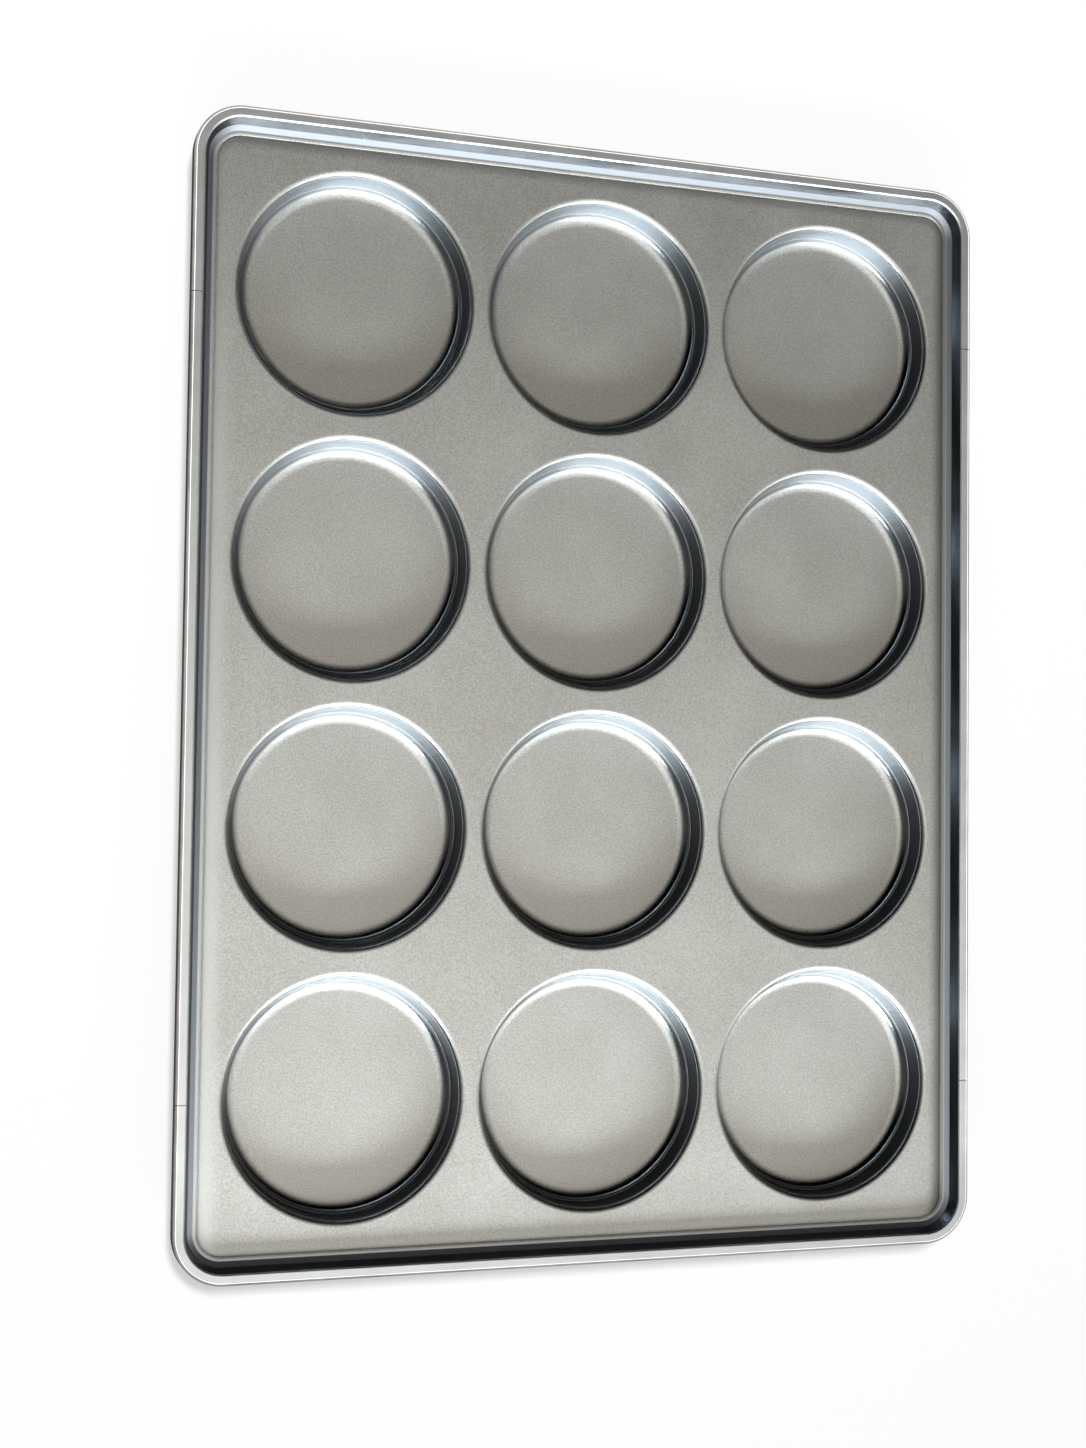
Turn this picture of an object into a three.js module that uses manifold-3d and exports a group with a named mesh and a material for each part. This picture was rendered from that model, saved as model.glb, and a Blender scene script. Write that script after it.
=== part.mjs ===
// Hamburger bun pan: a pressed sheet with round cups, an inner wall band and a rolled rim round a wire.
// Millimetres, +Z up. X runs across the pan, Y along it. The origin is under the middle of the pan,
// on the surface that the cup undersides rest on.
import * as THREE from 'three';
import { mergeVertices } from 'three/addons/utils/BufferGeometryUtils.js';
import Module from 'manifold-3d';

// Cups, measured inside the pan to the corners before they are rounded
const cupTopDiameter = 95.6;
const cupBaseDiameter = 90.5;
const cupDepth = 12;
const cupLipRadius = 2.4;
const cupBaseRadius = 5;
const cupColumns = 3;
const cupRows = 4;
const landAcross = 8.1;
const landAlong = 10.6;

// Deck and the slope round it
const sheetThickness = 0.8;
const deckMarginSide = 10.95;
const deckMarginEnd = 12.75;
const deckCornerRadius = 11.8;
const deckBendRadius = 1.2;
const slopeWidth = 2.6;
const slopeHeight = 1;

// Upper wall and rim
const wallAngle = THREE.MathUtils.degToRad(54);
const rimHeight = 6.2;
const rimReach = 8.1;
const bandThickness = 0.4;
const stripThickness = 0.4;
const stripInnerRadius = 0.8;
const stripOuterRadius = 1;
const stripLipLength = 0.6;
const wireDiameter = 2.8;
const seatGap = 0.12;

// Joints: how far the rim strips' ends lie from the ends of the deck, and the band's seam from its left side
const leftUpperJointSetback = 66.8;
const rightUpperJointSetback = 60.8;
const lowerJointSetback = 60.8;
const bandSeamSetback = 60.4;
const buttGap = 0.3;

// How finely the round forms are divided
const cupSides = 28;
const bendSteps = 3;
const cornerSteps = 6;
const wireSides = 8;
const pressOverlap = 1.2;
const mergeTolerance = 0.0001;
const flatnessTolerance = 0.001;

// Places that follow from the sizes
const deckTop = sheetThickness + cupDepth;
const pitchAcross = cupTopDiameter + landAcross;
const pitchAlong = cupTopDiameter + landAlong;
const deckHalfWidth = (pitchAcross * (cupColumns - 1) + cupTopDiameter) / 2 + deckMarginSide;
const deckHalfLength = (pitchAlong * (cupRows - 1) + cupTopDiameter) / 2 + deckMarginEnd;
const drawAngle = Math.atan2(cupDepth, (cupTopDiameter - cupBaseDiameter) / 2);
const lipOuterRadius = cupTopDiameter / 2 + cupLipRadius * Math.tan(drawAngle / 2);
const leftUpperJoint = deckHalfLength - leftUpperJointSetback;
const rightUpperJoint = deckHalfLength - rightUpperJointSetback;
const lowerJoint = lowerJointSetback - deckHalfLength;
const bandSeam = bandSeamSetback - deckHalfWidth;

const wasm = await Module();
wasm.setup();

function toSolid(geometry) {
  const bare = geometry.clone();
  bare.deleteAttribute('normal');
  bare.deleteAttribute('uv');
  const merged = mergeVertices(bare, mergeTolerance);
  const vertProperties = new Float32Array(merged.attributes.position.array);
  const triVerts = new Uint32Array(merged.index.array);
  return new wasm.Manifold(new wasm.Mesh({ numProp: 3, vertProperties, triVerts }));
}

function toGeometry(solid) {
  const { vertProperties, triVerts } = solid.getMesh();
  const geometry = new THREE.BufferGeometry();
  geometry.setAttribute('position', new THREE.BufferAttribute(vertProperties, 3));
  geometry.setIndex(new THREE.BufferAttribute(triVerts, 1));
  return geometry;
}

// A line of corners, each [x, y, radius], with the corners rounded to their radius
function bentLine(corners) {
  const points = [];
  corners.forEach(([x, y, radius = 0], i) => {
    const corner = new THREE.Vector2(x, y);
    if (radius === 0) {
      points.push(corner);
      return;
    }
    const before = new THREE.Vector2(...corners[i - 1].slice(0, 2)).sub(corner).normalize();
    const after = new THREE.Vector2(...corners[i + 1].slice(0, 2)).sub(corner).normalize();
    const half = Math.acos(before.dot(after)) / 2;
    const centre = before.clone().add(after).normalize().multiplyScalar(radius / Math.sin(half)).add(corner);
    const first = before.clone().multiplyScalar(radius / Math.tan(half)).add(corner).sub(centre);
    const turn = (Math.PI - 2 * half) * Math.sign(after.cross(before));
    for (let step = 0; step <= bendSteps; step += 1) {
      const spoke = first.clone().rotateAround(new THREE.Vector2(), (turn * step) / bendSteps);
      points.push(spoke.add(centre));
    }
  });
  return points;
}

// The closed section of a sheet whose one face follows the line, the other lying thickness to its right
function sheetSection(line, thickness) {
  const back = line.map((point, i) => {
    const normals = [];
    if (i > 0) {
      const along = point.clone().sub(line[i - 1]).normalize();
      normals.push(new THREE.Vector2(along.y, -along.x));
    }
    if (i < line.length - 1) {
      const along = line[i + 1].clone().sub(point).normalize();
      normals.push(new THREE.Vector2(along.y, -along.x));
    }
    const mitre = normals.reduce((sum, normal) => sum.add(normal), new THREE.Vector2()).normalize();
    return mitre.multiplyScalar(thickness / mitre.dot(normals[0])).add(point);
  });
  return [...line, ...back.reverse()];
}

// Stations round the deck outline, counter-clockwise from above: a point and the way out from it
function cornerStations(quarter) {
  const angleFrom = (quarter * Math.PI) / 2;
  const signX = Math.sign(Math.cos(angleFrom + Math.PI / 4));
  const signY = Math.sign(Math.sin(angleFrom + Math.PI / 4));
  const centreX = signX * (deckHalfWidth - deckCornerRadius);
  const centreY = signY * (deckHalfLength - deckCornerRadius);
  return Array.from({ length: cornerSteps + 1 }, (_, step) => {
    const angle = angleFrom + (step * Math.PI) / 2 / cornerSteps;
    const way = new THREE.Vector2(Math.cos(angle), Math.sin(angle));
    return { point: way.clone().multiplyScalar(deckCornerRadius).add(new THREE.Vector2(centreX, centreY)), way };
  });
}

function sideStation(x, y, wayX, wayY) {
  return { point: new THREE.Vector2(x, y), way: new THREE.Vector2(wayX, wayY) };
}

const wholeOutline = [0, 1, 2, 3].flatMap(cornerStations);

// A section of points (distance out from the deck outline, height above the deck) swept along stations
function sweep(section, stations, closed) {
  const positions = [];
  stations.forEach(({ point, way }) => {
    section.forEach(({ x, y }) => {
      positions.push(point.x + way.x * x, point.y + way.y * x, deckTop + y);
    });
  });
  const count = section.length;
  const spans = closed ? stations.length : stations.length - 1;
  const index = [];
  for (let span = 0; span < spans; span += 1) {
    const here = span * count;
    const next = ((span + 1) % stations.length) * count;
    for (let i = 0; i < count; i += 1) {
      const j = (i + 1) % count;
      index.push(here + i, here + j, next + i, next + i, here + j, next + j);
    }
  }
  if (!closed) {
    const last = (stations.length - 1) * count;
    THREE.ShapeUtils.triangulateShape(section, []).forEach(([a, b, c]) => {
      index.push(a, b, c);
      index.push(last + a, last + c, last + b);
    });
  }
  const geometry = new THREE.BufferGeometry();
  geometry.setAttribute('position', new THREE.Float32BufferAttribute(positions, 3));
  geometry.setIndex(index);
  return geometry;
}

// The wall: along it, out of the crease at the top of the slope, and square to it, out through the sheet
const crease = new THREE.Vector2(slopeWidth, slopeHeight);
const upWall = new THREE.Vector2(Math.cos(wallAngle), Math.sin(wallAngle));
const throughWall = new THREE.Vector2(Math.sin(wallAngle), -Math.cos(wallAngle));

function onWall(along, through) {
  return crease.clone().addScaledVector(upWall, along).addScaledVector(throughWall, through);
}

// How far up the wall a layer at some depth through it reaches a height above the deck
function alongAtHeight(height, through) {
  return (height - crease.y - throughWall.y * through) / upWall.y;
}

// How far up the wall such a layer reaches a distance out from the deck
function alongAtReach(reach, through) {
  return (reach - crease.x - throughWall.x * through) / upWall.x;
}

// Layers of the wall, each a distance through it from the sheet's inner face
const bandFace = -(seatGap + bandThickness);
const lipBack = bandFace - seatGap;
const lipFace = lipBack - stripThickness;

// The wire lies in the fold of the rim, against the sheet's back and the rim strip's outer side
const wireRadius = wireDiameter / 2;
const rimUnderTop = rimHeight - stripThickness;
const wireReach = rimReach - stripThickness - seatGap - wireRadius;
const wireThrough = sheetThickness + seatGap + wireRadius;
const wireCentre = onWall(alongAtReach(wireReach, wireThrough), wireThrough);
const rimBottom = wireCentre.y - wireRadius - seatGap - stripThickness;

// Rim strip: lip on the band, rounded over the top, down the outside and in under the wire
const lipBend = stripInnerRadius * Math.tan(wallAngle / 2);
const rimCornerAlong = alongAtHeight(rimHeight, lipFace);
const rimCorner = onWall(rimCornerAlong, lipFace);
const lipEnd = onWall(rimCornerAlong - lipBend - stripLipLength, lipFace);
const hemReach = wireCentre.x - wireRadius;
const stripLine = bentLine([
  [lipEnd.x, lipEnd.y],
  [rimCorner.x, rimCorner.y, stripInnerRadius],
  [rimReach, rimHeight, stripOuterRadius],
  [rimReach, rimBottom, stripOuterRadius],
  [hemReach, rimBottom],
]);
const stripSection = sheetSection(stripLine, stripThickness);

// Wall band: from just above the crease to the inner rounding of the rim strip, tucked behind its lip
const lipBackBend = (stripInnerRadius - stripThickness) * Math.tan(wallAngle / 2);
const bandTop = alongAtHeight(rimUnderTop, lipBack) - lipBackBend;
const bandSection = sheetSection([onWall(seatGap, bandFace), onWall(bandTop, bandFace)], bandThickness);

// Pan sheet's edge: deck, slope and the upturned wall that ends inside the rim
const edgeTop = onWall(alongAtHeight(rimUnderTop - seatGap, 0), 0);
const edgeLine = bentLine([
  [-deckBendRadius - pressOverlap, 0],
  [0, 0, deckBendRadius],
  [crease.x, crease.y],
  [edgeTop.x, edgeTop.y],
]);
const edgeSection = sheetSection(edgeLine, sheetThickness);

const wireSection = Array.from({ length: wireSides }, (_, side) => {
  const angle = (-2 * Math.PI * side) / wireSides;
  return new THREE.Vector2(Math.cos(angle), Math.sin(angle)).multiplyScalar(wireRadius).add(wireCentre);
});

// One drawn cup: the sheet runs along the floor, up the wall and over the lip on to the deck
function cupShell() {
  const inside = bentLine([
    [0, sheetThickness],
    [cupBaseDiameter / 2, sheetThickness, cupBaseRadius],
    [cupTopDiameter / 2, deckTop, cupLipRadius],
    [lipOuterRadius + pressOverlap, deckTop],
  ]);
  return new THREE.LatheGeometry(sheetSection(inside, sheetThickness).reverse(), cupSides).rotateX(Math.PI / 2);
}

// The flat deck, with a round hole at each cup that the cup's lip overlaps
function deckPlate(cupCentres) {
  const halfWidth = deckHalfWidth - deckBendRadius;
  const halfLength = deckHalfLength - deckBendRadius;
  const radius = deckCornerRadius - deckBendRadius;
  const outline = new THREE.Shape();
  outline.absarc(halfWidth - radius, halfLength - radius, radius, 0, Math.PI / 2);
  outline.absarc(radius - halfWidth, halfLength - radius, radius, Math.PI / 2, Math.PI);
  outline.absarc(radius - halfWidth, radius - halfLength, radius, Math.PI, 1.5 * Math.PI);
  outline.absarc(halfWidth - radius, radius - halfLength, radius, 1.5 * Math.PI, 2 * Math.PI);
  const holeRadius = lipOuterRadius + pressOverlap / 2;
  outline.holes = cupCentres.map(({ x, y }) => {
    const sides = Array.from({ length: cupSides }, (_, side) => {
      const angle = (2 * Math.PI * side) / cupSides;
      return new THREE.Vector2(x + holeRadius * Math.cos(angle), y + holeRadius * Math.sin(angle));
    });
    return new THREE.Path(sides);
  });
  const settings = { depth: sheetThickness, bevelEnabled: false, curveSegments: cornerSteps };
  return new THREE.ExtrudeGeometry(outline, settings).translate(0, 0, deckTop - sheetThickness);
}

function panSheet() {
  const cupCentres = [];
  for (let row = 0; row < cupRows; row += 1) {
    for (let column = 0; column < cupColumns; column += 1) {
      const x = (column - (cupColumns - 1) / 2) * pitchAcross;
      const y = (row - (cupRows - 1) / 2) * pitchAlong;
      cupCentres.push({ x, y });
    }
  }
  const edge = toSolid(sweep(edgeSection, wholeOutline, true));
  const plate = toSolid(deckPlate(cupCentres)).add(edge);
  const pressed = cupCentres.reduce((sheet, { x, y }) => sheet.add(toSolid(cupShell().translate(x, y, 0))), plate);
  return toGeometry(pressed.asOriginal().simplify(flatnessTolerance));
}

const satinSteel = { color: 0xaaa8a1, roughness: 0.42, metalness: 1 };
const polishedSteel = { color: 0xb6b7b6, roughness: 0.24, metalness: 1 };
const wireSteel = { color: 0x9b9b99, roughness: 0.35, metalness: 1 };

const pan = new THREE.Group();
pan.name = 'hamburger_bun_pan';

function addPiece(name, geometry, finish) {
  const piece = new THREE.Mesh(geometry, new THREE.MeshStandardMaterial(finish));
  piece.name = name;
  pan.add(piece);
}

const halfGap = buttGap / 2;
const leftOf = (y) => sideStation(-deckHalfWidth, y, -1, 0);
const rightOf = (y) => sideStation(deckHalfWidth, y, 1, 0);
const stripRuns = {
  rim_strip_top: [
    rightOf(rightUpperJoint + halfGap),
    ...cornerStations(0),
    ...cornerStations(1),
    leftOf(leftUpperJoint + halfGap),
  ],
  rim_strip_left: [leftOf(leftUpperJoint - halfGap), leftOf(lowerJoint + halfGap)],
  rim_strip_bottom: [
    leftOf(lowerJoint - halfGap),
    ...cornerStations(2),
    ...cornerStations(3),
    rightOf(lowerJoint - halfGap),
  ],
  rim_strip_right: [rightOf(lowerJoint + halfGap), rightOf(rightUpperJoint - halfGap)],
};
const bandRun = [
  sideStation(bandSeam - halfGap, deckHalfLength, 0, 1),
  ...[1, 2, 3, 0].flatMap(cornerStations),
  sideStation(bandSeam + halfGap, deckHalfLength, 0, 1),
];
const wireRun = [
  sideStation(halfGap, -deckHalfLength, 0, -1),
  ...[3, 0, 1, 2].flatMap(cornerStations),
  sideStation(-halfGap, -deckHalfLength, 0, -1),
];

addPiece('pan_sheet', panSheet(), satinSteel);
addPiece('wall_band', sweep(bandSection, bandRun, false), polishedSteel);
addPiece('rim_wire', sweep(wireSection, wireRun, false), wireSteel);
Object.entries(stripRuns).forEach(([name, run]) => {
  addPiece(name, sweep(stripSection, run, false), polishedSteel);
});

export default pan;
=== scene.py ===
# %% [markdown]
# # A hamburger bun pan in pressed steel
# A baker's bun pan is one pressed sheet with round cups, a smooth band inside its wall, and a rim of
# steel strip rolled round a wire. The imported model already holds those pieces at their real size, as
# plain facets. Here every piece that can be seen is modelled again, finely enough that the metal reflects
# in smooth lines, and gets its finish. The wire, hidden in the rim, only gets a finish.

# %% Load the pan as a fixed frame
import math
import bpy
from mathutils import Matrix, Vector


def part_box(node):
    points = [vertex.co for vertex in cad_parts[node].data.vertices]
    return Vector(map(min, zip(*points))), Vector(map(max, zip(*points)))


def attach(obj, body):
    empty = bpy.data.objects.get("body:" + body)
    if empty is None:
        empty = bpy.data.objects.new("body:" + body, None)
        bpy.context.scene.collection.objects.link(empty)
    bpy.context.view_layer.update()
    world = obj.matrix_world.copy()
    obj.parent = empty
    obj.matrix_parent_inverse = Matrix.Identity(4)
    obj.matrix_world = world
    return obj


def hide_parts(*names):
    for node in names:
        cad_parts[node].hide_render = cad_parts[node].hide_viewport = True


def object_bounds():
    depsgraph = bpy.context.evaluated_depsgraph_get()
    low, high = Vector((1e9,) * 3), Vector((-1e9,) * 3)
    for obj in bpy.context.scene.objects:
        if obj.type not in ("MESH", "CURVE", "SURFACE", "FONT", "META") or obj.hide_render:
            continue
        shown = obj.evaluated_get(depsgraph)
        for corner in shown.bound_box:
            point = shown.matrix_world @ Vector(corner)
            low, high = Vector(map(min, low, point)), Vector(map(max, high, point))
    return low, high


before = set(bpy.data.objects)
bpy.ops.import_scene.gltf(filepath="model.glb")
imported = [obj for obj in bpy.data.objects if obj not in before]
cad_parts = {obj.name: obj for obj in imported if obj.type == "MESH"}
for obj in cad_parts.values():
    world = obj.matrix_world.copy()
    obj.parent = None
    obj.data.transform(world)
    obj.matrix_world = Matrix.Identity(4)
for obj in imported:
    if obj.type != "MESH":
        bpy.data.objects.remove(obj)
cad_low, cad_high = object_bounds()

from types import SimpleNamespace

import bmesh
import bpy
from mathutils import Matrix, Vector

MM = 0.001
print("pan, mm:", [round(side / MM, 1) for side in cad_high - cad_low])

# %% [markdown]
# ## Sizes
# Everything follows from the section of the pan: the cup, the deck, the slope round it, and the wall that
# ends in the rim. The outline, the heights, the wire and the places of the rim's joints are read from the
# frame, so that the fine pieces take the place of the plain ones. The wall stands a little steeper than
# the plain one and its bends are finer, because the reflections in the photo ask for it.

# %% Heights and outline of the deck
sheet_thickness = 0.8 * MM
rim_height = 6.2 * MM
rim_reach = 8.1 * MM
deck_corner_radius = 11.8 * MM

deck_top = cad_high.z - rim_height
cup_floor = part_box("pan_sheet")[0].z + sheet_thickness
deck_half_width = cad_high.x - rim_reach
deck_half_length = cad_high.y - rim_reach
print("deck height, mm:", round(deck_top / MM, 2), "cup depth, mm:", round((deck_top - cup_floor) / MM, 2))
print("deck, mm:", round(2 * deck_half_width / MM, 2), "x", round(2 * deck_half_length / MM, 2))

# %% Places on the wall, measured along it from the crease and through it from the sheet's inner face
slope_width = 2.2 * MM
slope_height = 0.95 * MM
wall_angle = math.radians(61)
crease = Vector((slope_width, slope_height))
up_wall = Vector((math.cos(wall_angle), math.sin(wall_angle)))
through_wall = Vector((math.sin(wall_angle), -math.cos(wall_angle)))


def on_wall(along, through):
    return crease + up_wall * along + through_wall * through


def along_at_height(height, through):
    return (height - crease.y - through_wall.y * through) / up_wall.y


print("wall from crease to rim, mm:", round(along_at_height(rim_height, 0) / MM, 2))

# %% [markdown]
# ## Bent lines
# Sheet metal is a line with rounded bends, given a thickness. So every piece starts as a line of points
# drawn in edit mode, whose corners are already turned into arcs. A short straight step on each side of an
# arc holds the smooth shading there, so that the flats stay flat in the reflections.

# %% Round the corners of a line
bend_steps = 7
hold = 0.12 * MM


def bent_line(*corners):
    points = []
    for index, (x, y, radius) in enumerate(corners):
        corner = Vector((x, y))
        if not radius:
            points.append(corner)
            continue
        before = (Vector(corners[index - 1][:2]) - corner).normalized()
        after = (Vector(corners[index + 1][:2]) - corner).normalized()
        half = before.angle(after) / 2
        reach = radius / math.tan(half)
        centre = corner + (before + after).normalized() * (radius / math.sin(half))
        first = (corner + before * reach - centre).normalized()
        last = (corner + after * reach - centre).normalized()
        shares = [step / bend_steps for step in range(bend_steps + 1)]
        points.append(corner + before * (reach + hold))
        points.extend(centre + first.slerp(last, share) * radius for share in shares)
        points.append(corner + after * (reach + hold))
    return points


# %% Draw a line in edit mode, point by point
def draw_line(name, places):
    bpy.ops.object.select_all(action="DESELECT")
    bpy.ops.mesh.primitive_plane_add(size=MM)
    piece = bpy.context.object
    piece.name = name
    piece.data.name = name
    bpy.ops.object.mode_set(mode="EDIT")
    bpy.ops.mesh.merge(type="CENTER")
    bpy.ops.transform.translate(value=places[0])
    for here, there in zip(places, places[1:]):
        bpy.ops.mesh.extrude_vertices_move(TRANSFORM_OT_translate={"value": there - here})
    bpy.ops.mesh.select_all(action="SELECT")
    print(name, "drawn as a line of", len(places), "points")
    return piece


# %% [markdown]
# ## Running a section round the pan
# The wall, the band and the rim strips are one section each, carried along the sides and round the
# corners. By hand that is Extrude for each straight side and Spin for each corner, so both are wrapped in
# one short function that is told how many corners to pass and where to stop.

# %% Stand a section on a side of the pan
RIGHT, TOP, LEFT = range(3)
UP = Vector((0, 0, 1))
OUT = [Vector((1, 0, 0)), Vector((0, 1, 0)), Vector((-1, 0, 0)), Vector((0, -1, 0))]
side_reach = [deck_half_width, deck_half_length] * 2


def way_along(side):
    return OUT[(side + 1) % 4]


def stand(line, side, along):
    base = OUT[side] * side_reach[side] + way_along(side) * along + UP * deck_top
    return [base + OUT[side] * point.x + UP * point.y for point in line]


# %% Carry it round the pan, counter-clockwise
corner_steps = 16
corner_reach = [deck_half_length - deck_corner_radius, deck_half_width - deck_corner_radius] * 2


def extrude_by(step):
    bpy.ops.mesh.extrude_region_move(TRANSFORM_OT_translate={"value": step})


def carry(side, along, corners, end):
    for _ in range(corners):
        centre = OUT[side] * (side_reach[side] - deck_corner_radius) + way_along(side) * corner_reach[side]
        extrude_by(way_along(side) * (corner_reach[side] - along))
        bpy.ops.mesh.spin(steps=corner_steps, angle=math.pi / 2, center=centre, axis=-UP)
        side = (side + 1) % 4
        along = -corner_reach[side]
    extrude_by(way_along(side) * (end - along))


# %% [markdown]
# ## Closing and thickening
# A drawn shell has double points where its ends meet, and its faces may look down. Merge by Distance
# closes those seams, and Recalculate Normals makes the faces agree before they are turned up. Solidify
# then adds the gauge of the metal behind the drawn face. Drawing both faces by hand would work too, but
# their bends would have to be matched.

# %% Close a mesh's seams and turn it face up
merge_distance = 0.01 * MM


def close_seams(piece):
    bpy.ops.mesh.select_all(action="SELECT")
    bpy.ops.mesh.remove_doubles(threshold=merge_distance)
    bpy.ops.mesh.normals_make_consistent(inside=False)
    bpy.ops.object.mode_set(mode="OBJECT")
    highest = max(piece.data.polygons, key=lambda face: face.center.z)
    if highest.normal.z < 0:
        bpy.ops.object.mode_set(mode="EDIT")
        bpy.ops.mesh.flip_normals()
        bpy.ops.object.mode_set(mode="OBJECT")


# %% Give a piece its thickness
smooth_angle = math.radians(35)


def apply_modifier(piece, kind, **settings):
    modifier = piece.modifiers.new(kind.lower(), kind)
    for name, value in settings.items():
        setattr(modifier, name, value)
    bpy.ops.object.modifier_apply(modifier=modifier.name)


def thicken(piece, thickness):
    apply_modifier(piece, "SOLIDIFY", thickness=thickness, offset=-1, use_even_offset=True)
    bpy.ops.object.shade_smooth_by_angle(angle=smooth_angle)
    print(piece.name, len(piece.data.polygons), "faces")


# %% [markdown]
# ## The pressed sheet
# On the real pan one sheet runs from cup to cup and up to the rim: the press draws the cups and turns up
# the edge. Cups cut with Boolean modifiers would get uneven faces round their bends, which show in
# reflections. So one cup is drawn as half a section and spun about its axis, as on a lathe, and Array
# modifiers lay out the columns and rows.

# %% Sizes and places of the cups
cup_top_diameter = 95.6 * MM
cup_base_diameter = 90.5 * MM
cup_lip_radius = 2.4 * MM
cup_base_radius = 5 * MM
lip_flat = 2.6 * MM
cup_columns = 3
cup_rows = 4
land_across = 8.1 * MM
land_along = 10.6 * MM
pitch_across = cup_top_diameter + land_across
pitch_along = cup_top_diameter + land_along
first_cup = Vector((-pitch_across * (cup_columns - 1) / 2, -pitch_along * (cup_rows - 1) / 2, 0))
print("cups every", round(pitch_across / MM, 1), "mm across and", round(pitch_along / MM, 1), "mm along")

# %% Draw one cup
cup_steps = 96


def draw_cup():
    cup_line = bent_line(
        (0, cup_floor, 0),
        (cup_base_diameter / 2, cup_floor, cup_base_radius),
        (cup_top_diameter / 2, deck_top, cup_lip_radius),
        (cup_top_diameter / 2 + lip_flat, deck_top, 0),
    )
    piece = draw_line("cups", [first_cup + Vector((point.x, 0, point.y)) for point in cup_line])
    bpy.ops.mesh.spin(steps=cup_steps, angle=2 * math.pi, center=first_cup, axis=-UP)
    close_seams(piece)
    return piece


cups = draw_cup()


# %% Lay out the columns and rows
def repeat(piece, count, step):
    apply_modifier(piece, "ARRAY", count=count, use_relative_offset=False, use_constant_offset=True,
                   constant_offset_displace=step)


repeat(cups, cup_columns, (pitch_across, 0, 0))
repeat(cups, cup_rows, (0, pitch_along, 0))
print("cups:", cup_columns * cup_rows, "with", len(cups.data.polygons), "faces")

# %% [markdown]
# Round the cups the deck droops a little towards a fine groove. Outside it a low flange leads to the
# slope, the crease and the upturned wall, which ends under the rim. All of it is one line, stood on the
# right side and carried past the four corners, so that every bend runs round the pan without a break.

# %% Carry the deck's edge, slope and upturned wall round the outline
seat_gap = 0.12 * MM
strip_thickness = 0.4 * MM
rim_under_top = rim_height - strip_thickness
deck_overlap = 7.9 * MM
droop_place = 4.9 * MM
droop_radius = 24 * MM
droop = 0.35 * MM
groove_place = 1.9 * MM
groove_half = 0.35 * MM
groove_depth = 0.2 * MM
flange_width = 1.7 * MM
flange_rise = 0.1 * MM
deck_bend_radius = 1.2 * MM
crease_radius = 0.35 * MM


def draw_edge():
    edge_top = on_wall(along_at_height(rim_under_top - seat_gap, 0), 0)
    line = bent_line(
        (-deck_overlap, 0, 0),
        (-droop_place, 0, droop_radius),
        (-groove_place - groove_half, -droop, 0),
        (-groove_place, -droop - groove_depth, 0),
        (-groove_place + groove_half, -droop, 0),
        (flange_width - groove_place, flange_rise - droop, deck_bend_radius),
        (*crease, crease_radius),
        (*edge_top, 0),
    )
    piece = draw_line("pressed_sheet", stand(line, RIGHT, 0))
    carry(RIGHT, 0, corners=4, end=0)
    close_seams(piece)
    return piece


pressed_sheet = draw_edge()

# %% [markdown]
# Between the cup lips and the edge the deck is still open. Both meshes are joined, their open edges at
# deck height are selected, and Fill closes the deck between them. The faces are long and uneven, which
# does no harm here, because they all lie flat.

# %% Join the cups to the edge, fill the deck between them and give the sheet its thickness
flat_tolerance = 0.001 * MM


def fill_deck(piece):
    bpy.ops.object.mode_set(mode="EDIT")
    bpy.ops.mesh.select_mode(type="EDGE")
    bpy.ops.mesh.select_all(action="DESELECT")
    mesh = bmesh.from_edit_mesh(piece.data)
    for edge in mesh.edges:
        level = all(abs(vert.co.z - deck_top) < flat_tolerance for vert in edge.verts)
        edge.select_set(edge.is_boundary and level)
    bmesh.update_edit_mesh(piece.data)
    bpy.ops.mesh.fill(use_beauty=True)
    bpy.ops.mesh.select_mode(type="VERT")
    close_seams(piece)


cups.select_set(True)
pressed_sheet.select_set(True)
bpy.context.view_layer.objects.active = pressed_sheet
bpy.ops.object.join()
fill_deck(pressed_sheet)
thicken(pressed_sheet, sheet_thickness)

# %% [markdown]
# ## The wall band
# A thin strip lies against the inside of the upper wall and runs once round the pan. Its two ends meet on
# the far side, where the real band shows an upright seam. It could be split off the wall's own faces, but
# then it would have no edge. So it is a straight line of its own, carried past four corners and thickened.

# %% Lay the band from one side of its seam round to the other
band_thickness = 0.4 * MM
band_seam = -102 * MM
butt_gap = 0.3 * MM
strip_inner_radius = 0.7 * MM
band_face = -(seat_gap + band_thickness)
lip_back = band_face - seat_gap
lip_back_bend = (strip_inner_radius - strip_thickness) * math.tan(wall_angle / 2)
band_top = along_at_height(rim_under_top, lip_back) - lip_back_bend
band_line = [on_wall(seat_gap, band_face), on_wall(band_top, band_face)]
band_start = -band_seam + butt_gap / 2
band_end = -band_seam - butt_gap / 2
wall_band = draw_line("inner_wall_band", stand(band_line, TOP, band_start))
carry(TOP, band_start, corners=4, end=band_end)
close_seams(wall_band)
thicken(wall_band, band_thickness)

# %% [markdown]
# ## The rolled rim
# Four strips are rolled over the wire: a U round each end and a straight piece along each side. They
# share one section, which starts with a short lip on the band, turns over the top, goes down the outside
# and comes back under the wire, which is read from the frame. A curve with a round bevel would be quicker,
# but it has no flat top and no open hem. Each strip starts and stops at the joints that the frame gives.

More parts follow.
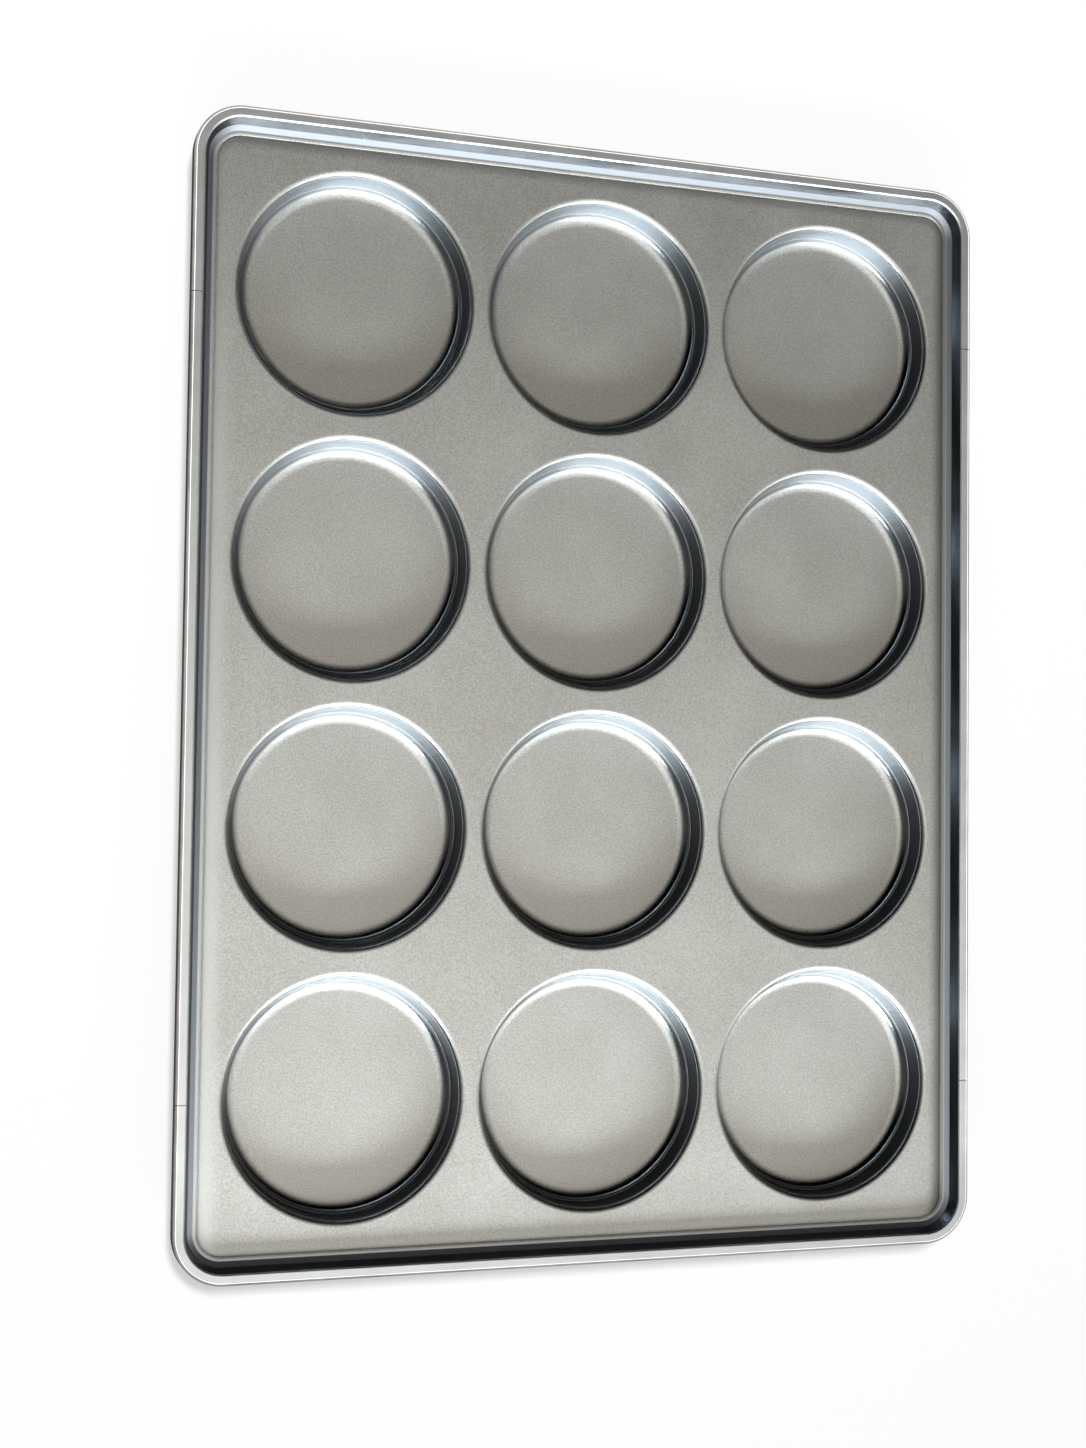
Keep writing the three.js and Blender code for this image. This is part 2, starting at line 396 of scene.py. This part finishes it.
# %% The section of a rim strip
strip_outer_radius = 1 * MM
strip_lip_length = 0.3 * MM
lip_face = lip_back - strip_thickness
lip_bend = strip_inner_radius * math.tan(wall_angle / 2)
rim_corner_along = along_at_height(rim_height, lip_face)
rim_corner = on_wall(rim_corner_along, lip_face)
lip_end = on_wall(rim_corner_along - lip_bend - strip_lip_length, lip_face)
wire_low, wire_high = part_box("rim_wire")
rim_bottom = wire_low.z - seat_gap - strip_thickness - deck_top
hem_reach = wire_high.x - (wire_high.z - wire_low.z) - deck_half_width
strip_line = bent_line(
    (*lip_end, 0),
    (*rim_corner, strip_inner_radius),
    (rim_reach, rim_height, strip_outer_radius),
    (rim_reach, rim_bottom, strip_outer_radius),
    (hem_reach, rim_bottom, 0),
)
print("rim, mm:", round((rim_height - rim_bottom) / MM, 2), "high")


# %% Roll each strip from joint to joint
def roll_strip(name, side, along, corners, end):
    piece = draw_line(name, stand(strip_line, side, along))
    carry(side, along, corners, end)
    close_seams(piece)
    thicken(piece, strip_thickness)
    return piece


left_low, left_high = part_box("rim_strip_left")
right_low, right_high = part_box("rim_strip_right")
far_start = right_high.y + butt_gap
far_end = -(left_high.y + butt_gap)
near_start = -(left_low.y - butt_gap)
near_end = right_low.y - butt_gap
rim_strips = {
    "rim_strip_top": roll_strip("rolled_rim_far_end", RIGHT, far_start, corners=2, end=far_end),
    "rim_strip_left": roll_strip("rolled_rim_left_side", LEFT, -left_high.y, corners=0, end=-left_low.y),
    "rim_strip_bottom": roll_strip("rolled_rim_near_end", LEFT, near_start, corners=2, end=near_end),
    "rim_strip_right": roll_strip("rolled_rim_right_side", RIGHT, right_low.y, corners=0, end=right_high.y),
}

# %% [markdown]
# ## Shader maths
# A finish is a small network of nodes. Wrapping a socket in a class with its own plus, minus and times
# lets the network be written as one expression per idea, and one method makes every other kind of node.


# %% A wrapped socket
class Value:
    """A socket of a finish. Arithmetic on it adds Math nodes."""

    def __init__(self, finish, socket):
        self.finish = finish
        self.socket = socket

    def math(self, operation, first, second):
        return self.finish.node("ShaderNodeMath", {"operation": operation}, {0: first, 1: second})

    def __add__(self, other):
        return self.math("ADD", self, other)

    def __radd__(self, other):
        return self.math("ADD", other, self)

    def __sub__(self, other):
        return self.math("SUBTRACT", self, other)

    def __rsub__(self, other):
        return self.math("SUBTRACT", other, self)

    def __mul__(self, other):
        return self.math("MULTIPLY", self, other)

    def __rmul__(self, other):
        return self.math("MULTIPLY", other, self)

    def __truediv__(self, other):
        return self.math("DIVIDE", self, other)

    def __rtruediv__(self, other):
        return self.math("DIVIDE", other, self)


# %% A finish to build with it
class Finish:
    """A material whose nodes are made by one method."""

    def __init__(self, name, metallic):
        self.material = bpy.data.materials.new(name)
        self.material.use_nodes = True
        self.tree = self.material.node_tree
        self.shader = self.tree.nodes["Principled BSDF"]
        self.shader.inputs["Metallic"].default_value = metallic

    def feed(self, socket, value):
        if isinstance(value, Value):
            self.tree.links.new(value.socket, socket)
        else:
            socket.default_value = value

    def node(self, kind, settings, inputs, output=0):
        node = self.tree.nodes.new(kind)
        for name, value in settings.items():
            setattr(node, name, value)
        for name, value in inputs.items():
            self.feed(node.inputs[name], value)
        return Value(self, node.outputs[output])

    def surface(self, **inputs):
        for name, value in inputs.items():
            self.feed(self.shader.inputs[name.replace("_", " ")], value)

    def replace_shader(self, value):
        self.feed(self.tree.nodes["Material Output"].inputs["Surface"], value)

    def done(self):
        print(self.material.name, len(self.tree.nodes), "nodes")
        return self.material

    def places(self):
        return self.node("ShaderNodeTexCoord", {}, {}, "Object")

    def split(self, vector):
        outputs = self.node("ShaderNodeSeparateXYZ", {}, {"Vector": vector}).socket.node.outputs
        return [Value(self, socket) for socket in outputs]

    def vector(self, operation, first, second=(0, 0, 0), output="Vector"):
        return self.node("ShaderNodeVectorMath", {"operation": operation}, {0: first, 1: second}, output)

    def noise(self, vector, size, detail=2.0, roughness=0.5):
        sockets = {"Vector": vector, "Scale": 1 / size, "Detail": detail, "Roughness": roughness}
        return self.node("ShaderNodeTexNoise", {}, sockets, "Fac")

    def between(self, value, low, high, to_low, to_high):
        sockets = {"Value": value, "From Min": low, "From Max": high, "To Min": to_low, "To Max": to_high}
        return self.node("ShaderNodeMapRange", {"interpolation_type": "SMOOTHSTEP"}, sockets, "Result")

    def rise(self, value, low, high):
        return self.between(value, low, high, 0.0, 1.0)

    def fall(self, value, low, high):
        return self.between(value, low, high, 1.0, 0.0)

    def mix(self, factor, first, second):
        sockets = {"Factor": factor, 6: first, 7: second}
        return self.node("ShaderNodeMix", {"data_type": "RGBA"}, sockets, 2)

    def bump(self, height, strength, distance):
        sockets = {"Height": height, "Strength": strength, "Distance": distance}
        return self.node("ShaderNodeBump", {}, sockets)


# %% [markdown]
# ## The satin sheet
# The sheet is aluminised steel: a satin, warm grey face with a fine grain. Where the press has drawn it,
# on the walls and bends of the cups, the grain is smoothed flat and the metal is glossier, with fine
# streaks in the direction of the draw and two thin press lines. There its colour is painted much darker as
# painted shade, darkest on the near walls, and the far walls and bends and the press lines are painted
# lighter as painted highlights. Painting those places would need an image, so masks find them: the flats
# lie at the heights of the cup floor and of the deck, and the drawn metal lies between.

# %% How far out a point lies from the deck's rounded outline
beyond_pan = 1.0


def outward_from_deck(finish, places):
    corner = (deck_half_width - deck_corner_radius, deck_half_length - deck_corner_radius, beyond_pan)
    past_corner = finish.vector("SUBTRACT", finish.vector("ABSOLUTE", places), corner)
    distance = finish.vector("LENGTH", finish.vector("MAXIMUM", past_corner), output="Value")
    return distance - deck_corner_radius


# %% Masks for the bends, the drawn walls, the press lines and the turned-up edge
press_line_low = cup_floor + 3.3 * MM
press_line_high = deck_top - 1.7 * MM
low_line_half = 0.15 * MM
high_line_half = 0.12 * MM
flat_margin = 0.05 * MM
floor_fade = 1.4 * MM
lip_fade = 1.1 * MM
cups_end_span = (-6 * MM, -5 * MM)
turn_up_span = (-0.9 * MM, -0.4 * MM)


def line_at_step(step):
    # Halfway down the step this comes to 1, and on both sides of it to 0.
    return step * (1 - step) * 4


def sheet_zones(finish, places):
    height = finish.split(places)[2]
    outward = outward_from_deck(finish, places)
    among_cups = finish.fall(outward, *cups_end_span)
    above_floor = finish.rise(height, cup_floor + flat_margin, cup_floor + floor_fade)
    below_deck = finish.fall(height, deck_top - lip_fade, deck_top - flat_margin)
    low_step = finish.fall(height, press_line_low - low_line_half, press_line_low + low_line_half)
    high_step = finish.fall(height, press_line_high - high_line_half, press_line_high + high_line_half)
    return SimpleNamespace(
        bent=above_floor * below_deck * among_cups,
        drawn=(high_step - low_step) * among_cups,
        steps=(low_step + high_step) * among_cups,
        lines=(line_at_step(low_step) + line_at_step(high_step)) * among_cups,
        turned_up=finish.rise(outward, *turn_up_span),
    )


# %% [markdown]
# The grain and the streaks are noise. Streaks have to run up each cup wall, so they read the direction
# from the cup's axis instead of the place: wrapping a place into one cell of the grid of cups puts every
# axis in the middle of its cell. The same direction tells the far wall of a cup from the near one, and
# the far ones are painted paler, a painted highlight.

# %% Grain of the flats and streaks round the cups
grain_size = 0.7 * MM
cloud_size = 38 * MM
streak_width = 0.03
coarse = 0.6
far_direction = (-0.25, 0.97, 0)
# Span of the mask for the painted highlight that makes the far walls and bends of each cup paler.
far_sheen_span = (-0.1, 0.9)


def direction_from_axis(finish, places):
    cell_low = (-pitch_across / 2, 0, -beyond_pan)
    cell_high = (pitch_across / 2, pitch_along, beyond_pan)
    sockets = {0: places, 1: cell_high, 2: cell_low}
    cell = finish.node("ShaderNodeVectorMath", {"operation": "WRAP"}, sockets)
    from_axis = finish.vector("SUBTRACT", cell, (0, pitch_along / 2, 0))
    return finish.vector("NORMALIZE", finish.vector("MULTIPLY", from_axis, (1, 1, 0)))


def sheet_texture(finish, places):
    direction = direction_from_axis(finish, places)
    far_side = finish.vector("DOT_PRODUCT", direction, far_direction, output="Value")
    return SimpleNamespace(
        grain=finish.noise(places, grain_size, roughness=coarse),
        cloud=finish.noise(places, cloud_size),
        streak=finish.noise(direction, streak_width, roughness=coarse),
        # The far side of each cup, where a painted highlight makes the walls and bends paler.
        far_sheen=finish.rise(far_side, *far_sheen_span),
    )


# %% [markdown]
# The deck's margins are not one grey. The right margin is darkened as painted shade, and the near one,
# faintly, as painted shadow; the left margin is lightened as a painted sheen, which fades towards the far
# end.
# Distances from those sides make the masks, so the marks keep their real width, and each one is mixed over
# the satin colour before the bends and walls are.

# %% Colour of the flats
satin_dark = (0.49, 0.475, 0.445, 1)
satin_light = (0.69, 0.675, 0.64, 1)
satin_span = (0.32, 0.68)
grain_share = 0.8
cloud_share = 0.2
# Painted shade along the right margin, and a faint painted shadow along the near margin.
painted_shade_colour = (0.2, 0.19, 0.17, 1)
right_shade_span = (2 * MM, 9 * MM)
right_shade_amount = 0.68
near_shadow_span = (10 * MM, 28 * MM)
near_shadow_amount = 0.16
# Painted sheen: the left margin lighter, fading towards the far end.
painted_sheen_colour = (0.8, 0.79, 0.765, 1)
left_sheen_span = (3 * MM, 12 * MM)
left_sheen_amount = 0.6
sheen_fade_span = (60 * MM, 190 * MM)
sheen_fade_amount = 0.2


def flat_colour(finish, places, texture):
    across, along, _ = finish.split(places)
    tone = finish.rise(texture.grain * grain_share + texture.cloud * cloud_share, *satin_span)
    satin = finish.mix(tone, satin_dark, satin_light)
    # Painted shade along the right margin and painted shadow along the near one.
    right_shade = finish.fall(deck_half_width - across, *right_shade_span) * right_shade_amount
    near_shadow = finish.fall(deck_half_length + along, *near_shadow_span) * near_shadow_amount
    shaded_satin = finish.mix(right_shade + near_shadow, satin, painted_shade_colour)
    # Painted sheen along the left margin, weaker towards the far end.
    left_sheen = finish.fall(deck_half_width + across, *left_sheen_span) * left_sheen_amount
    sheen_fade = finish.between(along, *sheen_fade_span, 1.0, sheen_fade_amount)
    return finish.mix(left_sheen * sheen_fade, shaded_satin, painted_sheen_colour)


# %% Colour of the whole sheet
slope_colour = (0.45, 0.48, 0.52, 1)
# Bends: painted darker than the flats as painted shade; the far ones are painted paler as a painted
# highlight.
near_bend_colour = (0.2, 0.208, 0.212, 1)
far_bend_colour = (0.24, 0.252, 0.26, 1)
# Drawn walls: painted far darker than the flats as painted shade; the far walls are painted paler as a
# painted highlight.
near_wall_dark = (0.09, 0.1, 0.112, 1)
near_wall_light = (0.12, 0.13, 0.145, 1)
far_wall_dark = (0.22, 0.25, 0.28, 1)
far_wall_light = (0.28, 0.31, 0.345, 1)
# The press lines' light colour is a painted highlight along their small steps.
press_line_highlight_colour = (0.8, 0.82, 0.83, 1)


def sheet_colour(finish, places, zones, texture):
    flats = flat_colour(finish, places, texture)
    with_slope = finish.mix(zones.turned_up, flats, slope_colour)
    # Bends and walls: painted shade, with a painted highlight on their far side.
    bends = finish.mix(texture.far_sheen, near_bend_colour, far_bend_colour)
    with_bends = finish.mix(zones.bent, with_slope, bends)
    near_wall = finish.mix(texture.streak, near_wall_dark, near_wall_light)
    far_wall = finish.mix(texture.streak, far_wall_dark, far_wall_light)
    with_walls = finish.mix(zones.drawn, with_bends, finish.mix(texture.far_sheen, near_wall, far_wall))
    return finish.mix(zones.lines, with_walls, press_line_highlight_colour)


# %% Roughness of the sheet: satin flats, a smoother slope, glossy bends and walls, dull press lines
noise_middle = 0.5
satin_roughness = 0.5
grain_roughness = 0.2
cloud_roughness = 0.06
slope_roughness = 0.4
bend_roughness = 0.15
far_bend_roughness = 0.16
wall_roughness = 0.17
streak_roughness = 0.02
far_wall_roughness = 0.18
press_line_roughness = 0.6


def toward(first, second, share):
    return first + share * (second - first)


def sheet_roughness(zones, texture):
    grain = (texture.grain - noise_middle) * grain_roughness
    cloud = (texture.cloud - noise_middle) * cloud_roughness
    with_slope = toward(satin_roughness + grain + cloud, slope_roughness, zones.turned_up)
    bends = bend_roughness + texture.far_sheen * far_bend_roughness
    with_bends = toward(with_slope, bends, zones.bent)
    walls = wall_roughness + texture.streak * streak_roughness + texture.far_sheen * far_wall_roughness
    with_walls = toward(with_bends, walls, zones.drawn)
    return toward(with_walls, press_line_roughness, zones.lines)


# %% The finish of the sheet
relief_depth = 0.3 * MM
grain_relief = 0.06


def satin_sheet():
    finish = Finish("satin_sheet_finish", metallic=1.0)
    places = finish.places()
    zones = sheet_zones(finish, places)
    texture = sheet_texture(finish, places)
    flat_grain = texture.grain * (1 - zones.bent) * (1 - zones.turned_up)
    relief = flat_grain * grain_relief + zones.steps
    finish.surface(
        Base_Color=sheet_colour(finish, places, zones, texture),
        Roughness=sheet_roughness(zones, texture),
        Normal=finish.bump(relief, strength=1.0, distance=relief_depth),
    )
    return finish.done()


# %% [markdown]
# ## The rim and the band
# Both are strip with faint lines along them from the rolls. The rim is bright; the band's colour is kept
# very dark as painted shade. The outside of the rim is painted dark and made matt as painted shade, and
# towards its near end the top is duller. How far out a point lies from the deck's rounded outline drives
# the lines and the dark edge, so that both follow the rim round its corners, where plain stripes would not.

# %% Lines left by the rolls, and marks of handling
roll_line_width = 0.4 * MM
roll_line_stretch = 0.004
mark_size = 14 * MM
mark_detail = 3.0


def rolled_lines(finish, places, outward):
    across, along, height = finish.split(places)
    sockets = {0: outward + height, 1: (across + along) * roll_line_stretch}
    run = finish.node("ShaderNodeCombineXYZ", {}, sockets)
    return finish.noise(run, roll_line_width, roughness=coarse)


def handling_marks(finish, places):
    return finish.noise(places, mark_size, mark_detail, coarse)


# %% Rim strip, and the wire inside it
fine_size = 0.5 * MM
strip_line_share = 0.4
strip_fine_share = 0.3
strip_mark_share = 0.3
tone_span = (0.3, 0.7)
# Painted shade: the outer side of the rim is coloured near black.
painted_shade_dark = (0.025, 0.024, 0.024, 1)
painted_shade_light = (0.06, 0.057, 0.054, 1)
outline_shade_span = (rim_reach - 1.25 * MM, rim_reach - 0.9 * MM)
dull_colour = (0.06, 0.06, 0.06, 1)
dull_span = (6 * MM, 40 * MM)
dull_amount = 0.2
strip_roughness = 0.46
fine_roughness = 0.08
mark_roughness = 0.12
roll_line_relief = 0.03
roll_line_depth = 0.02 * MM


def rim_strip_finish(name, light, dark):
    finish = Finish(name, metallic=1.0)
    places = finish.places()
    outward = outward_from_deck(finish, places)
    lines = rolled_lines(finish, places, outward)
    fine = finish.noise(places, fine_size)
    marks = handling_marks(finish, places)
    shades = lines * strip_line_share + fine * strip_fine_share + marks * strip_mark_share
    tone = finish.rise(shades, *tone_span)
    # The outer side of the rim: painted dark as painted shade, and not metallic.
    outside = finish.rise(outward, *outline_shade_span)
    from_near_end = deck_half_length + finish.split(places)[1]
    dulled = finish.fall(from_near_end, *dull_span) * dull_amount
    metal = finish.mix(dulled, finish.mix(tone, dark, light), dull_colour)
    fine_rough = (fine - noise_middle) * fine_roughness
    rough = strip_roughness + fine_rough + (marks - noise_middle) * mark_roughness
    finish.surface(
        Base_Color=finish.mix(outside, metal, finish.mix(tone, painted_shade_dark, painted_shade_light)),
        Roughness=rough,
        Metallic=1 - outside,
        Normal=finish.bump(lines, roll_line_relief, roll_line_depth),
        Specular_IOR_Level=0.0,
    )
    return finish.done()


# %% Polished band
# The band's very dark colour is painted shade on the upper wall.
band_dark = (0.085, 0.093, 0.102, 1)
band_light = (0.12, 0.128, 0.14, 1)
band_line_share = 0.5
band_mark_share = 0.5
band_roughness = 0.15
band_line_roughness = 0.04


def wall_band_finish():
    finish = Finish("polished_band_finish", metallic=1.0)
    places = finish.places()
    lines = rolled_lines(finish, places, outward_from_deck(finish, places))
    shades = lines * band_line_share + handling_marks(finish, places) * band_mark_share
    finish.surface(
        Base_Color=finish.mix(finish.rise(shades, *tone_span), band_dark, band_light),
        Roughness=band_roughness + lines * band_line_roughness,
    )
    return finish.done()


# %% [markdown]
# ## Dressing the pieces
# Each fine piece gets its finish, rides on the pan's one body and replaces its plain piece in the frame.
# In the photo the four strips differ a little in tone, so each has a grey of its own, set by one number.

# %% Dress the sheet and the band
def dress(piece, material, node):
    piece.data.materials.clear()
    piece.data.materials.append(material)
    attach(piece, "root")
    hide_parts(node)


dress(pressed_sheet, satin_sheet(), "pan_sheet")
dress(wall_band, wall_band_finish(), "wall_band")

# %% Dress the strips, and the wire where it lies
warmth = 0.985
strip_contrast = 0.12
wire_level = 0.55
wire_contrast = 0.11
strip_levels = {
    "rim_strip_top": 0.8,
    "rim_strip_left": 0.78,
    "rim_strip_bottom": 0.79,
    "rim_strip_right": 0.83,
}


def grey(level):
    return (level, level, level * warmth, 1)


for node, strip in rim_strips.items():
    level = strip_levels[node]
    strip_finish = rim_strip_finish(node + "_finish", grey(level), grey(level - strip_contrast))
    dress(strip, strip_finish, node)
wire_finish = rim_strip_finish("drawn_wire_finish", grey(wire_level), grey(wire_level - wire_contrast))
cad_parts["rim_wire"].data.materials.clear()
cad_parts["rim_wire"].data.materials.append(wire_finish)

# %% [markdown]
# ## Studio
# The pan lies on a white floor. Polished metal shows what stands round it, so bare lamps would leave it
# black with hot spots. A tent over it gives soft, warm light instead: bright overhead and on the near
# side, dark on the far, left and right sides, which is what turns the cup walls white on one side and
# black on the other. One low light in the tent, on the near right, brightens the edge that faces it.

# %% Floor
floor_size = 14
floor_gap = 0.05 * MM
floor_colour = (0.1, 0.1, 0.1, 1)
floor_roughness = 0.9
floor_glow = 0.55


def white_floor():
    bpy.ops.object.select_all(action="DESELECT")
    bpy.ops.mesh.primitive_plane_add(size=floor_size, location=(0, 0, cad_low.z - floor_gap))
    floor = bpy.context.object
    floor.name = "floor"
    bpy.ops.object.transform_apply(location=True)
    finish = Finish("white_floor", metallic=0.0)
    finish.surface(Base_Color=floor_colour, Roughness=floor_roughness)
    by_camera = finish.node("ShaderNodeLightPath", {}, {}, "Is Camera Ray")
    by_metal = finish.node("ShaderNodeLightPath", {}, {}, "Is Glossy Ray")
    matt = Value(finish, finish.shader.outputs[0])
    glow = finish.node("ShaderNodeEmission", {}, {"Color": (1, 1, 1, 1), "Strength": 1.0})
    sockets = {0: (by_camera + by_metal) * floor_glow, 1: matt, 2: glow}
    finish.replace_shader(finish.node("ShaderNodeMixShader", {}, sockets))
    floor.data.materials.append(finish.done())


white_floor()

# %% [markdown]
# The tent is a dome whose inside glows. Dividing a direction by the square root of one plus its height
# lays the sky out as a flat map with straight up in the middle, on which bright and dark patches are easy
# to place: away is up the map, aside is across it, measured from the middle of the overhead patch, which
# narrows towards the far side.

# %% Where the tent is bright
overhead_middle = 0.08
overhead_half_width = 0.365
overhead_taper = 0.1
overhead_aside_span = (0.0, 1.15)
overhead_away_span = (-0.06, 0.32)
overhead_level = 1.29
low_away_span = (-0.95, -0.45)
low_share = 0.5
sides_aside_span = (0.8, 2.5)
sides_away_span = (-0.1, 0.35)
sides_level = 0.2
right_across_span = (0.4, 0.65)
right_along_span = (-0.32, -0.12)
right_foot_span = (0.02, 0.12)
right_top_span = (0.38, 0.6)
right_level = 1.9


def tent_strength(finish, across, along, height, spread):
    away = along / spread
    aside = (across / spread - overhead_middle) / (overhead_half_width - overhead_taper * away)
    aside_squared = aside * aside
    overhead = finish.fall(aside_squared, *overhead_aside_span) * finish.fall(away, *overhead_away_span)
    low = finish.between(away, *low_away_span, low_share, 1.0)
    sides = finish.rise(aside_squared, *sides_aside_span) * finish.fall(away, *sides_away_span)
    right_reach = finish.rise(across, *right_across_span) * finish.fall(along, *right_along_span)
    right_rise = finish.rise(height, *right_foot_span) * finish.fall(height, *right_top_span)
    return overhead * low * overhead_level + sides * sides_level + right_reach * right_rise * right_level


# %% Tent
tent_radius = 6
brightest = 2.0
warm_span = (-0.75, -0.1)
cool_light = (0.87, 0.97, 1.0, 1)
warm_light = (1.0, 0.97, 0.91, 1)
no_light = (0, 0, 0, 1)


def tent():
    bpy.ops.object.select_all(action="DESELECT")
    bpy.ops.mesh.primitive_uv_sphere_add(segments=48, ring_count=24, radius=tent_radius)
    dome = bpy.context.object
    dome.name = "tent"
    finish = Finish("tent_cloth", metallic=0.0)
    across, along, height = finish.split(finish.vector("NORMALIZE", finish.places()))
    spread = finish.node("ShaderNodeMath", {"operation": "SQRT"}, {0: 1 + height})
    strength = tent_strength(finish, across, along, height, spread)
    tint = finish.mix(finish.rise(along / spread, *warm_span), cool_light, warm_light)
    light = finish.mix(strength / brightest, no_light, tint)
    glow = finish.node("ShaderNodeEmission", {}, {"Color": light, "Strength": brightest})
    finish.replace_shader(glow)
    dome.data.materials.append(finish.done())
    dome.visible_camera = False
    dome.visible_shadow = False


tent()

# %% [markdown]
# Two lamps finish the light. A long strip, low on the near side, draws the crisp highlights and throws
# the shadow of each near wall on its cup's floor. The other one hangs high and is unseen by the metal: it
# gives the pan its soft shadow on the floor. Area lamps are used, because a point lamp would make hard
# shadows. Behind them a white world fills the picture beyond the floor.


# %% Lamps
def lamp(name, place, width, height, power, colour, on_metal):
    data = bpy.data.lights.new(name, "AREA")
    data.shape = "RECTANGLE"
    data.size = width
    data.size_y = height
    data.energy = power
    data.color = colour
    light = bpy.data.objects.new(name, data)
    bpy.context.scene.collection.objects.link(light)
    pan_middle = Vector((0, 0, deck_top))
    turn = (pan_middle - place).to_track_quat("-Z", "Y")
    light.matrix_world = Matrix.Translation(place) @ turn.to_matrix().to_4x4()
    light.visible_camera = False
    light.visible_glossy = on_metal
    print(name, power, "W", round((pan_middle - place).length, 2), "m away")


strip_place = Vector((0.08, -4.53, 2.11))
strip_colour = (0.86, 0.94, 1.0)
lamp("near_strip", strip_place, width=6.6, height=0.83, power=690, colour=strip_colour, on_metal=True)
shadow_place = Vector((-0.35, 1.0, 3.3))
lamp("shadow_lamp", shadow_place, width=0.5, height=0.7, power=1100, colour=(1, 1, 1), on_metal=False)

# %% White world
world = bpy.data.worlds.new("white_room")
bpy.context.scene.world = world
world.use_nodes = True
background = world.node_tree.nodes["Background"].inputs
background["Color"].default_value = (1, 1, 1, 1)
background["Strength"].default_value = 1.0

# %% [markdown]
# ## Camera
# The cups are round, so the ovals that their lips make in the photo tell where its camera stood, which
# way it looked and how long its lens was. The camera could be turned by angles, but three directions at
# right angles to each other say the same in a way that is easy to check. The Standard view keeps each
# colour as it is written.

# %% Camera where the photo was taken from
photo_height = 1448
focal_pixels = 2070.4
sensor_width = 36
eye = Vector((-0.2952, -0.0494, 0.7976 + deck_top))
forward = Vector((0.3224, 0.0465, -0.9455)).normalized()
picture_up = Vector((-0.0267, 0.9988, 0.0400))
right = forward.cross(picture_up).normalized()
up = right.cross(forward)
camera_data = bpy.data.cameras.new("photo_camera")
camera_data.sensor_width = sensor_width
camera_data.lens = focal_pixels / photo_height * sensor_width
camera = bpy.data.objects.new("photo_camera", camera_data)
bpy.context.scene.collection.objects.link(camera)
camera.matrix_world = Matrix.Translation(eye) @ Matrix((right, up, -forward)).transposed().to_4x4()
bpy.context.scene.camera = camera
bpy.context.scene.view_settings.view_transform = "Standard"
print("lens, mm:", round(camera_data.lens, 1))
